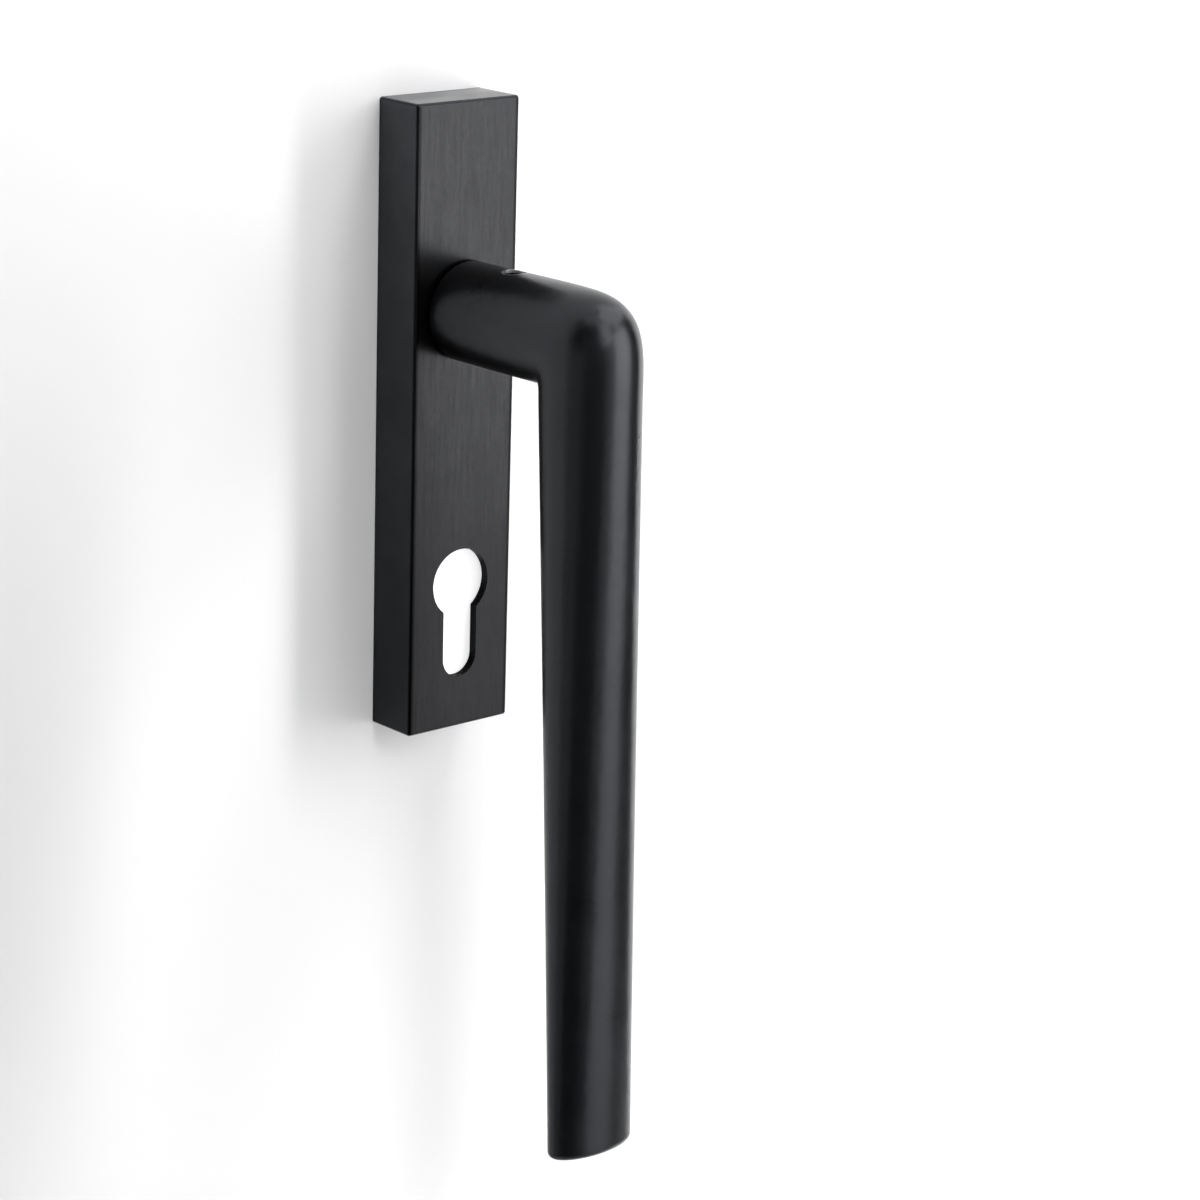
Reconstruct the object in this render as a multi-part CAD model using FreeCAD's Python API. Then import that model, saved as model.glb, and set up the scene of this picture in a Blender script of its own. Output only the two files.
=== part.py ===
import FreeCAD, Part
import math
import os

from FreeCAD import Matrix, Vector

# Lever handle of a lift-and-slide patio door, in millimetres.
# The origin is on the spindle axis at the door face. +Z is up, the handle stands out towards -Y.

# Cover plate and gasket
plate_height = 160.0
plate_width = 32.0
plate_depth = 15.0
spindle_above_foot = 108.0
cover_front_wall = 2.4
cover_side_wall = 2.2
cover_edge_radius = 0.8
gasket_thickness = 0.5
cover_setback = 0.2

# Profile cylinder hole, a circle with a slot below it
cylinder_spacing = 70.0
cylinder_hole_radius = 8.8
cylinder_slot_width = 10.6
cylinder_hole_height = 33.5

# Lever, from the neck at the plate to the cut end of the grip
neck_diameter = 25.0
neck_gap = 1.0
neck_rim_chamfer = 0.3
lever_projection = 75.0
lever_length = 205.0
neck_height_at_bend = 25.4
grip_depth_at_bend = 25.0
bend_squareness = 4.0
inner_corner_radius = 0.8
grip_end_width = 25.6
grip_end_depth = 11.8
grip_end_projection = 76.0
grip_end_rounding = 1.6

# Bearing of the lever in the plate
spigot_diameter = 18.0
spigot_flats = 16.4
bush_flange_diameter = 24.0
bush_flange_thickness = 1.5
bush_outer_diameter = 21.0
bush_length = 6.2
guide_ring_outer_diameter = 20.7
friction_washer_thickness = 0.5
stop_disc_thickness = 1.5
stop_disc_diameter = 20.4
stop_lug_reach = 12.0
stop_lug_half_angle = 14.0
stop_play_angle = 1.0
turn_of_lever = 180.0
wave_strip_thickness = 0.4
wave_amplitude = 0.35
wave_count = 3
ring_thickness = 1.2
ring_groove_depth = 0.5
ring_width = 2.2
ring_eye_diameter = 2.7
ring_eye_hole = 1.2
ring_eye_angle = 18.0
ring_pocket_diameter = 24.6
spigot_tail = 0.6
bearing_lead_in = 0.4

# Spindle and its set screw
spindle_side = 10.0
spindle_depth_in_lever = 29.0
spindle_length_in_door = 60.0
spindle_chamfer = 0.8
set_screw_diameter = 6.0
set_screw_length = 6.0
set_screw_point = 0.9
set_screw_socket = 3.0
set_screw_socket_depth = 3.0
set_screw_from_plate = 18.5

# Carrier, the moulded base inside the cover
carrier_front_skin = 2.4
carrier_side_skin = 1.8
carrier_rib = 1.6
carrier_rib_pitch = 11.5
carrier_corner_radius = 1.0
boss_wall = 2.2
catch_width = 8.0
catch_height = 1.5
catch_reach = 0.8

# Fixing screws and what they bear on
upper_fixing_below_top = 12.0
lower_fixing_above_cylinder = 30.0
fixing_screw_diameter = 6.0
fixing_shank_diameter = 5.3
fixing_head_diameter = 10.0
fixing_head_height = 3.6
fixing_head_chamfer = 0.5
fixing_socket = 5.0
fixing_socket_depth = 2.5
fixing_screw_reach = 48.0
fixing_head_setback = 0.2
thread_chamfer = 0.8
lock_washer_thickness = 1.1
lock_washer_diameter = 9.8
lock_washer_split = 0.8
lock_washer_split_angle = 30.0
sleeve_flange_diameter = 11.2
sleeve_flange_thickness = 1.0
sleeve_diameter = 9.0

# Foot screw of the cover
foot_screw_diameter = 4.0
foot_screw_length = 7.0
foot_screw_depth = 6.5
foot_screw_setback = 0.4
foot_screw_point = 0.6
foot_screw_socket = 2.0
foot_screw_socket_depth = 2.0
insert_diameter = 5.8
insert_length = 6.0
insert_collar = 2.1
insert_knurl_depth = 0.5

# Clearances
running_clearance = 0.04
seat_clearance = 0.05
cover_clearance = 0.15
passage_clearance = 0.4
face_gap = 0.3
edge_break = 0.3

# How far a cut runs past its piece, and how far one form sinks into another that it joins
cut_past = 1.0
joined_by = 0.1

# Planes along Y that the pieces share
cover_front_y = -plate_depth
cover_inside_y = cover_front_y + cover_front_wall
carrier_front_y = cover_inside_y + cover_setback
rear_y = -gasket_thickness
neck_end_y = cover_front_y - neck_gap
bush_rear_y = carrier_front_y + bush_length
washer_rear_y = bush_rear_y + seat_clearance + friction_washer_thickness
disc_front_y = washer_rear_y + seat_clearance
disc_rear_y = disc_front_y + stop_disc_thickness
wave_front_y = disc_rear_y + seat_clearance
wave_height = wave_strip_thickness + 2.0 * wave_amplitude
ring_front_y = wave_front_y + wave_height + seat_clearance
ring_rear_y = ring_front_y + ring_thickness
spigot_end_y = ring_rear_y + spigot_tail

# Heights along Z that the pieces share
plate_top_z = plate_height - spindle_above_foot
plate_foot_z = -spindle_above_foot
carrier_inset = cover_side_wall + cover_clearance
carrier_top_z = plate_top_z - carrier_inset
carrier_foot_z = plate_foot_z + carrier_inset
carrier_half_width = plate_width / 2.0 - carrier_inset
catch_y = (carrier_front_y + rear_y) / 2.0
fixing_levels = {
    "upper": plate_top_z - upper_fixing_below_top,
    "lower": lower_fixing_above_cylinder - cylinder_spacing,
}

# Lever planes
neck_radius = neck_diameter / 2.0
grip_outer_y = -lever_projection
bend_hinge_y = grip_outer_y + grip_depth_at_bend + inner_corner_radius
bend_hinge_z = -neck_radius - inner_corner_radius
set_screw_y = cover_front_y - set_screw_from_plate
grip_end_z = -lever_length

Y_AXIS = Vector(0, 1, 0)
Z_AXIS = Vector(0, 0, 1)
ORIGIN = Vector(0, 0, 0)


def block(x_range, y_range, z_range):
    low = Vector(x_range[0], y_range[0], z_range[0])
    size = [r[1] - r[0] for r in (x_range, y_range, z_range)]
    return Part.makeBox(size[0], size[1], size[2], low)


def disc_y(radius, y_from, y_to, z=0.0):
    """Round bar along Y at the given height."""
    return Part.makeCylinder(radius, y_to - y_from, Vector(0, y_from, z), Y_AXIS)


def disc_z(radius, z_from, z_to, y=0.0):
    """Round bar along Z at the given depth."""
    return Part.makeCylinder(radius, z_to - z_from, Vector(0, y, z_from), Z_AXIS)


def ring_y(outer, inner, y_from, y_to, z=0.0):
    return disc_y(outer, y_from, y_to, z).cut(disc_y(inner, y_from - cut_past, y_to + cut_past, z))


def turned_y(profile, z=0.0):
    """Turned piece about Y from (radius, y) corners, moved to the given height."""
    corners = [Vector(radius, y, 0) for radius, y in profile]
    wire = Part.makePolygon(corners + [corners[0]])
    solid = Part.Face(wire).revolve(ORIGIN, Y_AXIS, 360)
    solid.translate(Vector(0, 0, z))
    return solid


def turned_z(profile, y=0.0):
    """Turned piece about Z from (radius, z) corners, moved to the given depth."""
    corners = [Vector(radius, 0, z) for radius, z in profile]
    wire = Part.makePolygon(corners + [corners[0]])
    solid = Part.Face(wire).revolve(ORIGIN, Z_AXIS, 360)
    solid.translate(Vector(0, y, 0))
    return solid


def hexagon_prism(across_flats, length, start, direction):
    """Hexagonal bar for the socket of a screw."""
    corner_radius = across_flats / math.sqrt(3.0)
    side = direction.cross(Vector(1, 0, 0))
    corners = []
    for step in range(6):
        angle = math.radians(60.0 * step)
        corners.append(start + Vector(1, 0, 0) * (corner_radius * math.cos(angle))
                       + side * (corner_radius * math.sin(angle)))
    wire = Part.makePolygon(corners + [corners[0]])
    return Part.Face(wire).extrude(direction * length)


def rounded_plate(half_width, z_range, y_range, radius):
    """Rectangular plate with its four upright corners rounded."""
    plate = block((-half_width, half_width), y_range, z_range)
    corners = [edge for edge in plate.Edges if edges_run_along_y(edge)]
    return plate.makeFillet(radius, corners)


def edges_run_along_y(edge):
    first, last = edge.Vertexes[0].Point, edge.Vertexes[-1].Point
    return abs(first.x - last.x) < 1e-6 and abs(first.z - last.z) < 1e-6


def cylinder_outline(offset, y_from, y_to):
    """Prism with the outline of the profile cylinder hole, grown by the offset."""
    radius = cylinder_hole_radius + offset
    half_slot = cylinder_slot_width / 2.0 + offset
    centre_z = -cylinder_spacing
    joint_z = centre_z - math.sqrt(radius ** 2 - half_slot ** 2)
    end_centre_z = centre_z + cylinder_hole_radius - cylinder_hole_height + cylinder_slot_width / 2.0
    left_joint = Vector(-half_slot, y_from, joint_z)
    right_joint = Vector(half_slot, y_from, joint_z)
    left_end = Vector(-half_slot, y_from, end_centre_z)
    right_end = Vector(half_slot, y_from, end_centre_z)
    crown = Vector(0, y_from, centre_z + radius)
    foot = Vector(0, y_from, end_centre_z - half_slot)
    edges = [
        Part.Arc(left_joint, crown, right_joint).toShape(),
        Part.LineSegment(right_joint, right_end).toShape(),
        Part.Arc(right_end, foot, left_end).toShape(),
        Part.LineSegment(left_end, left_joint).toShape(),
    ]
    return Part.Face(Part.Wire(edges)).extrude(Vector(0, y_to - y_from, 0))


def cover_plate():
    """Hollow cover, open at the back, with softened outer edges."""
    half_width = plate_width / 2.0
    shell = block((-half_width, half_width), (cover_front_y, rear_y), (plate_foot_z, plate_top_z))
    outer_edges = [edge for edge in shell.Edges if not edge_lies_on_rear(edge)]
    shell = shell.makeFillet(cover_edge_radius, outer_edges)
    inner_half_width = half_width - cover_side_wall
    hollow = block(
        (-inner_half_width, inner_half_width),
        (cover_inside_y, cut_past),
        (plate_foot_z + cover_side_wall, plate_top_z - cover_side_wall),
    )
    neck_hole = disc_y(guide_ring_outer_diameter / 2.0 + seat_clearance, cover_front_y - cut_past, 0)
    cylinder_hole = cylinder_outline(0.0, cover_front_y - cut_past, 0)
    foot_hole_radius = foot_screw_diameter / 2.0 + seat_clearance
    foot_hole = disc_z(foot_hole_radius, plate_foot_z - cut_past, carrier_foot_z, -foot_screw_depth)
    return shell.cut([hollow, neck_hole, cylinder_hole, foot_hole, cover_catch_groove()])


def edge_lies_on_rear(edge):
    return all(abs(vertex.Point.y - rear_y) < 1e-6 for vertex in edge.Vertexes)


def cover_catch_groove():
    """Groove in the upper end wall that takes the carrier's catch."""
    half = catch_width / 2.0 + cover_clearance
    rise = catch_height / 2.0 + cover_clearance
    return block(
        (-half, half),
        (catch_y - rise, catch_y + rise),
        (carrier_top_z, carrier_top_z + catch_reach + 2.0 * cover_clearance),
    )


def rear_gasket():
    """Soft pad between the plate and the door."""
    pad = rounded_plate(
        plate_width / 2.0, (plate_foot_z, plate_top_z), (rear_y, 0.0), cover_edge_radius
    )
    openings = [
        disc_y(spigot_diameter / 2.0, rear_y - cut_past, cut_past),
        cylinder_outline(passage_clearance, rear_y - cut_past, cut_past),
    ]
    for level in fixing_levels.values():
        openings.append(disc_y(sleeve_diameter / 2.0, rear_y - cut_past, cut_past, level))
    return pad.cut(openings)


def carrier_blank():
    plate = rounded_plate(
        carrier_half_width, (carrier_foot_z, carrier_top_z), (carrier_front_y, rear_y), carrier_corner_radius
    )
    catch = block(
        (-catch_width / 2.0, catch_width / 2.0),
        (catch_y - catch_height / 2.0, catch_y + catch_height / 2.0),
        (carrier_top_z - joined_by, carrier_top_z + catch_reach),
    )
    return plate.fuse(catch)


def carrier_islands(y_from, y_to):
    """What stays standing inside the carrier's hollow back: bosses and ribs."""
    bearing_boss = ring_pocket_diameter / 2.0 + boss_wall
    screw_boss = sleeve_flange_diameter / 2.0 + boss_wall
    insert_boss = insert_diameter / 2.0 + boss_wall
    islands = [
        disc_y(bearing_boss, y_from, y_to),
        cylinder_outline(passage_clearance + boss_wall, y_from, y_to),
        block((-carrier_rib / 2.0, carrier_rib / 2.0), (y_from, y_to), (carrier_foot_z, carrier_top_z)),
        block(
            (-insert_boss, insert_boss),
            (y_from, y_to),
            (carrier_foot_z, carrier_foot_z + insert_length + boss_wall),
        ),
    ]
    for level in fixing_levels.values():
        islands.append(disc_y(screw_boss, y_from, y_to, level))
    level = carrier_foot_z + carrier_rib_pitch
    while level < carrier_top_z - carrier_rib_pitch / 2.0:
        islands.append(block(
            (-carrier_half_width, carrier_half_width), (y_from, y_to), (level, level + carrier_rib)
        ))
        level += carrier_rib_pitch
    return islands


def stop_rib():
    """Raised arc on the wall of the ring pocket, on the side where the lug never turns."""
    start = turn_of_lever / 2.0 + stop_lug_half_angle + stop_play_angle
    sweep = 360.0 - 2.0 * start
    inner = stop_disc_diameter / 2.0 + face_gap
    outer = ring_pocket_diameter / 2.0 + joined_by
    angle = math.radians(start)
    corners = [
        Vector(inner * math.cos(angle), bush_rear_y, inner * math.sin(angle)),
        Vector(outer * math.cos(angle), bush_rear_y, outer * math.sin(angle)),
        Vector(outer * math.cos(angle), disc_rear_y, outer * math.sin(angle)),
        Vector(inner * math.cos(angle), disc_rear_y, inner * math.sin(angle)),
    ]
    wire = Part.makePolygon(corners + [corners[0]])
    return Part.Face(wire).revolve(ORIGIN, Vector(0, -1, 0), sweep)


def carrier():
    """Moulded base with a ribbed back, the bearing seat, screw bosses and cylinder passage."""
    floor_y = carrier_front_y + carrier_front_skin
    inner_half_width = carrier_half_width - carrier_side_skin
    hollow = block(
        (-inner_half_width, inner_half_width),
        (floor_y, cut_past),
        (carrier_foot_z + carrier_side_skin, carrier_top_z - carrier_side_skin),
    )
    hollow = hollow.cut(carrier_islands(floor_y - cut_past, 2.0 * cut_past))
    body = carrier_blank().cut(hollow)
    body = body.cut(carrier_seats())
    return body.fuse(stop_rib()).removeSplitter()


def carrier_seats():
    """Bores and counterbores for the bush, the ring pocket, the sleeves and the insert."""
    flange_radius = bush_flange_diameter / 2.0 + seat_clearance
    flange_floor_y = carrier_front_y + bush_flange_thickness
    seats = [
        cylinder_outline(passage_clearance, carrier_front_y - cut_past, cut_past),
        disc_y(flange_radius, carrier_front_y - cut_past, flange_floor_y),
        disc_y(bush_outer_diameter / 2.0 + seat_clearance, carrier_front_y, bush_rear_y + joined_by),
        disc_y(ring_pocket_diameter / 2.0, bush_rear_y, cut_past),
        disc_z(insert_diameter / 2.0 + seat_clearance, carrier_foot_z - cut_past,
               carrier_foot_z + insert_length + seat_clearance, -foot_screw_depth),
        disc_z(foot_screw_diameter / 2.0 + seat_clearance, carrier_foot_z,
               plate_foot_z + foot_screw_setback + foot_screw_length + face_gap, -foot_screw_depth),
    ]
    flange_seat_radius = sleeve_flange_diameter / 2.0 + seat_clearance
    sleeve_seat_radius = sleeve_diameter / 2.0 + seat_clearance
    for level in fixing_levels.values():
        seats.append(disc_y(flange_seat_radius, carrier_front_y - cut_past, sleeve_shoulder_y(), level))
        seats.append(disc_y(sleeve_seat_radius, carrier_front_y, cut_past, level))
    return seats


def bearing_bush():
    """Flanged plain bearing of the spigot, with a lead-in at each end of its bore."""
    bore = spigot_diameter / 2.0 + running_clearance
    outer = bush_outer_diameter / 2.0
    lead = bearing_lead_in
    return turned_y([
        (bore + lead, carrier_front_y),
        (bush_flange_diameter / 2.0, carrier_front_y),
        (bush_flange_diameter / 2.0, carrier_front_y + bush_flange_thickness - seat_clearance),
        (outer, carrier_front_y + bush_flange_thickness - seat_clearance),
        (outer, bush_rear_y - lead),
        (outer - lead, bush_rear_y),
        (bore + lead, bush_rear_y),
        (bore, bush_rear_y - lead),
        (bore, carrier_front_y + lead),
    ])


def guide_ring():
    """Sliding ring in the cover's neck hole, on which the neck's shoulder runs."""
    bore = spigot_diameter / 2.0 + running_clearance
    outer = guide_ring_outer_diameter / 2.0
    front_y = neck_end_y + face_gap
    rear = carrier_front_y - seat_clearance
    return turned_y([
        (bore, front_y + edge_break),
        (bore + edge_break, front_y),
        (outer - edge_break, front_y),
        (outer, front_y + edge_break),
        (outer, rear),
        (bore, rear),
    ])


def friction_washer():
    bore = spigot_diameter / 2.0 + face_gap / 2.0
    return ring_y(stop_disc_diameter / 2.0, bore, bush_rear_y + seat_clearance, washer_rear_y)


def flatted_bar(radius, across_flats, y_from, y_to):
    """Round bar along Y with two flats that face sideways."""
    keep = block((-across_flats / 2.0, across_flats / 2.0), (y_from, y_to), (-radius, radius))
    return disc_y(radius, y_from, y_to).common(keep)


def stop_disc():
    """Disc keyed to the spigot's flats, with the lug that meets the ends of the stop rib."""
    disc = disc_y(stop_disc_diameter / 2.0, disc_front_y, disc_rear_y)
    inner = stop_disc_diameter / 2.0 - joined_by
    angle = math.radians(-90.0 - stop_lug_half_angle)
    corners = [
        Vector(inner * math.cos(angle), disc_front_y, inner * math.sin(angle)),
        Vector(stop_lug_reach * math.cos(angle), disc_front_y, stop_lug_reach * math.sin(angle)),
        Vector(stop_lug_reach * math.cos(angle), disc_rear_y, stop_lug_reach * math.sin(angle)),
        Vector(inner * math.cos(angle), disc_rear_y, inner * math.sin(angle)),
    ]
    wire = Part.makePolygon(corners + [corners[0]])
    lug = Part.Face(wire).revolve(ORIGIN, Vector(0, -1, 0), 2.0 * stop_lug_half_angle)
    bore = flatted_bar(
        spigot_diameter / 2.0 + seat_clearance,
        spigot_flats + 2.0 * seat_clearance,
        disc_front_y - cut_past,
        disc_rear_y + cut_past,
    )
    return disc.fuse(lug).cut(bore).removeSplitter()


def wavy_circle(radius, y_mean):
    """Closed curve about Y that rises and falls in even waves."""
    steps = 8 * wave_count
    points = []
    for step in range(steps):
        angle = 2.0 * math.pi * step / steps
        height = y_mean + wave_amplitude * math.sin(wave_count * angle)
        points.append(Vector(radius * math.cos(angle), height, radius * math.sin(angle)))
    curve = Part.BSplineCurve()
    curve.interpolate(Points=points, PeriodicFlag=True)
    return curve.toShape()


def wave_washer():
    """Wavy ring of spring strip that takes up the axial play."""
    inner = spigot_diameter / 2.0 + face_gap / 2.0
    outer = stop_disc_diameter / 2.0
    front_y = wave_front_y + wave_amplitude
    rear = front_y + wave_strip_thickness
    loop = [wavy_circle(inner, front_y), wavy_circle(outer, front_y),
            wavy_circle(outer, rear), wavy_circle(inner, rear)]
    faces = [Part.makeRuledSurface(loop[i], loop[(i + 1) % 4]) for i in range(4)]
    shell = Part.Shell([face for surface in faces for face in surface.Faces])
    solid = Part.Solid(shell)
    if solid.Volume < 0:
        solid.reverse()
    return solid


def retaining_ring():
    """External circlip: a ring that is widest opposite its gap, with an eye at each end."""
    groove_radius = spigot_diameter / 2.0 - ring_groove_depth
    inner = groove_radius + seat_clearance
    eccentricity = 0.25 * ring_width
    outer = inner + ring_width - eccentricity
    body = disc_y(outer, ring_front_y, ring_rear_y)
    body.translate(Vector(0, 0, -eccentricity))
    eye_radius = ring_eye_diameter / 2.0
    eye_place = inner + eye_radius
    eye_angle = math.radians(ring_eye_angle)
    pin_holes = []
    for side in (-1.0, 1.0):
        place = Vector(side * eye_place * math.sin(eye_angle), 0, eye_place * math.cos(eye_angle))
        eye = disc_y(eye_radius, ring_front_y, ring_rear_y)
        eye.translate(place)
        hole = disc_y(ring_eye_hole / 2.0, ring_front_y - cut_past, ring_rear_y + cut_past)
        hole.translate(place)
        body = body.fuse(eye)
        pin_holes.append(hole)
    gap_half_width = eye_place * math.sin(eye_angle) - eye_radius
    through = (ring_front_y - cut_past, ring_rear_y + cut_past)
    gap = block((-gap_half_width, gap_half_width), through, (0, 2.0 * outer))
    bore = disc_y(inner, through[0], through[1])
    return body.cut(pin_holes + [gap, bore]).removeSplitter()


def oval_section(centre, across, along):
    """Oval wire whose half axes are the two given vectors."""
    normal = across.cross(along)
    normal.normalize()
    frame = Matrix(
        across.x, along.x, normal.x, centre.x,
        across.y, along.y, normal.y, centre.y,
        across.z, along.z, normal.z, centre.z,
        0, 0, 0, 1,
    )
    return Part.Wire(Part.makeCircle(1.0).transformGeometry(frame).Edges)


def bend_section(turn):
    """Section of the bend in the plane that is hinged below the inner corner, at the given turn."""
    direction = Vector(0, -math.sin(turn), math.cos(turn))
    upward = math.cos(turn) / (neck_height_at_bend + inner_corner_radius)
    outward = math.sin(turn) / (grip_depth_at_bend + inner_corner_radius)
    power = bend_squareness
    far = (upward ** power + outward ** power) ** (-1.0 / power)
    middle = (far + inner_corner_radius) / 2.0
    half = (far - inner_corner_radius) / 2.0
    hinge = Vector(0, bend_hinge_y, bend_hinge_z)
    return oval_section(hinge + direction * middle, Vector(neck_radius, 0, 0), direction * half)


def neck_and_grip():
    """Round neck, turned bend and tapered oval grip in one piece."""
    neck_end = oval_section(Vector(0, neck_end_y, 0), Vector(neck_radius, 0, 0), Vector(0, 0, neck_radius))
    neck = Part.makeLoft([neck_end, bend_section(0.0)], True, True)
    neck_rim = [edge for edge in neck.Edges if abs(edge.CenterOfMass.y - neck_end_y) < 0.01]
    neck = neck.makeChamfer(neck_rim_chamfer, neck_rim)
    turns = [math.radians(90.0 * step / 12.0) for step in range(13)]
    bend = Part.makeLoft([bend_section(turn) for turn in turns], True, False)
    end_half_depth = grip_end_depth / 2.0
    end_centre = Vector(0, end_half_depth - grip_end_projection, grip_end_z)
    end_section = oval_section(
        end_centre, Vector(grip_end_width / 2.0, 0, 0), Vector(0, -end_half_depth, 0)
    )
    grip = Part.makeLoft([bend_section(math.pi / 2.0), end_section], True, True)
    end_edges = [edge for edge in grip.Edges if abs(edge.CenterOfMass.z - grip_end_z) < 0.01]
    grip = grip.makeFillet(grip_end_rounding, end_edges)
    return neck.fuse([bend, grip]).removeSplitter()


def spigot():
    """Turned end of the lever that runs in the bush, with flats and a ring groove at its tail."""
    radius = spigot_diameter / 2.0
    plain = disc_y(radius, neck_end_y - joined_by, washer_rear_y)
    tail = flatted_bar(radius, spigot_flats, washer_rear_y, spigot_end_y)
    groove = ring_y(
        radius + cut_past,
        radius - ring_groove_depth,
        ring_front_y - seat_clearance,
        ring_rear_y + seat_clearance,
    )
    return plain.fuse(tail.cut(groove))


def lever():
    """Neck, grip and spigot, bored square for the spindle and round for the set screw."""
    body = neck_and_grip().fuse(spigot())
    half_square = spindle_side / 2.0 + seat_clearance
    socket_y = neck_end_y - spindle_depth_in_lever - seat_clearance
    socket = block((-half_square, half_square), (socket_y, cut_past), (-half_square, half_square))
    screw_hole_radius = (set_screw_diameter + seat_clearance) / 2.0
    screw_hole = disc_z(screw_hole_radius, 0, neck_radius + cut_past, set_screw_y)
    return body.cut([socket, screw_hole]).removeSplitter()


def spindle():
    """Square bar with chamfered ends, from inside the neck to the lift gear in the door."""
    half = spindle_side / 2.0
    start_y = neck_end_y - spindle_depth_in_lever
    bar = block((-half, half), (start_y, spindle_length_in_door), (-half, half))
    ends = [edge for edge in bar.Edges if not edges_run_along_y(edge)]
    return bar.makeChamfer(spindle_chamfer, ends)


def neck_grub_screw():
    """Set screw with a hexagon socket that presses on the spindle."""
    radius = set_screw_diameter / 2.0
    foot_z = spindle_side / 2.0 + seat_clearance
    top_z = foot_z + set_screw_length
    body = turned_z([
        (0, foot_z), (radius - set_screw_point, foot_z), (radius, foot_z + set_screw_point),
        (radius, top_z - edge_break), (radius - edge_break, top_z), (0, top_z),
    ], set_screw_y)
    socket_floor = Vector(0, set_screw_y, top_z - set_screw_socket_depth)
    socket = hexagon_prism(set_screw_socket, set_screw_socket_depth + cut_past, socket_floor, Z_AXIS)
    return body.cut(socket)


def sleeve_front_y():
    head_rear_y = carrier_front_y + fixing_head_setback + fixing_head_height
    return head_rear_y + lock_washer_thickness + 2.0 * seat_clearance


def sleeve_shoulder_y():
    return sleeve_front_y() + sleeve_flange_thickness + seat_clearance


def support_sleeve(level):
    """Flanged steel sleeve that takes the screw's clamping force through the carrier."""
    bore = fixing_screw_diameter / 2.0 + face_gap
    flange = sleeve_flange_diameter / 2.0
    body = sleeve_diameter / 2.0
    front_y = sleeve_front_y()
    step_y = front_y + sleeve_flange_thickness
    return turned_y([
        (bore, front_y), (flange, front_y), (flange, step_y), (body, step_y),
        (body, rear_y - edge_break), (body - edge_break, rear_y), (bore, rear_y),
    ], level)


def lock_washer(level):
    """Split spring washer under the screw head."""
    rear = sleeve_front_y() - seat_clearance
    front_y = rear - lock_washer_thickness
    bore = fixing_screw_diameter / 2.0 + face_gap / 2.0
    ring = ring_y(lock_washer_diameter / 2.0, bore, front_y, rear, level)
    half_split = lock_washer_split / 2.0
    split = block(
        (-half_split, half_split),
        (front_y - lock_washer_thickness, rear + lock_washer_thickness),
        (level, level + lock_washer_diameter),
    )
    split.rotate(Vector(0, (front_y + rear) / 2.0, level), Z_AXIS, lock_washer_split_angle)
    return ring.cut(split)


def fixing_screw(level):
    """Socket head screw through the door, with a reduced shank as far as the door face."""
    head = fixing_head_diameter / 2.0
    shank = fixing_shank_diameter / 2.0
    thread = fixing_screw_diameter / 2.0
    front_y = carrier_front_y + fixing_head_setback
    seat_y = front_y + fixing_head_height
    end_y = fixing_screw_reach
    body = turned_y([
        (0, front_y), (head - fixing_head_chamfer, front_y), (head, front_y + fixing_head_chamfer),
        (head, seat_y), (shank, seat_y), (shank, 0), (thread, 0),
        (thread, end_y - thread_chamfer), (thread - thread_chamfer, end_y), (0, end_y),
    ], level)
    socket_mouth = Vector(0, front_y - cut_past, level)
    socket = hexagon_prism(fixing_socket, fixing_socket_depth + cut_past, socket_mouth, Y_AXIS)
    return body.cut(socket)


def threaded_insert():
    """Brass insert with two collars, set into the carrier's foot."""
    bore = foot_screw_diameter / 2.0 + seat_clearance / 2.0
    outer = insert_diameter / 2.0
    waist = outer - insert_knurl_depth
    low = carrier_foot_z
    high = low + insert_length
    return turned_z([
        (bore, low), (outer, low), (outer, low + insert_collar), (waist, low + insert_collar),
        (waist, high - insert_collar), (outer, high - insert_collar), (outer, high), (bore, high),
    ], -foot_screw_depth)


def cover_grub_screw():
    """Headless screw that locks the cover's foot to the carrier."""
    radius = foot_screw_diameter / 2.0
    low = plate_foot_z + foot_screw_setback
    high = low + foot_screw_length
    body = turned_z([
        (0, low), (radius - edge_break, low), (radius, low + edge_break),
        (radius, high - foot_screw_point), (radius - foot_screw_point, high), (0, high),
    ], -foot_screw_depth)
    socket_mouth = Vector(0, -foot_screw_depth, low - cut_past)
    socket = hexagon_prism(foot_screw_socket, foot_screw_socket_depth + cut_past, socket_mouth, Z_AXIS)
    return body.cut(socket)


def main():
    pieces = {
        "cover_plate": cover_plate(),
        "rear_gasket": rear_gasket(),
        "carrier": carrier(),
        "bearing_bush": bearing_bush(),
        "guide_ring": guide_ring(),
        "friction_washer": friction_washer(),
        "threaded_insert": threaded_insert(),
        "cover_grub_screw": cover_grub_screw(),
        "lever": lever(),
        "spindle": spindle(),
        "neck_grub_screw": neck_grub_screw(),
        "stop_disc": stop_disc(),
        "wave_washer": wave_washer(),
        "retaining_ring": retaining_ring(),
    }
    for name, level in fixing_levels.items():
        pieces[name + "_support_sleeve"] = support_sleeve(level)
        pieces[name + "_lock_washer"] = lock_washer(level)
        pieces[name + "_fixing_screw"] = fixing_screw(level)
    os.makedirs("parts", exist_ok=True)
    for name, shape in pieces.items():
        solid = shape.Solids[0]
        print(name, "solids", len(shape.Solids), "valid", shape.isValid(), "volume", round(shape.Volume, 1))
        solid.exportStep("parts/" + name + ".step")


main()
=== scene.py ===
import math

import bmesh
import bpy
from bpy.props import FloatProperty, FloatVectorProperty, IntProperty, PointerProperty
from mathutils import Matrix, Vector


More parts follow.
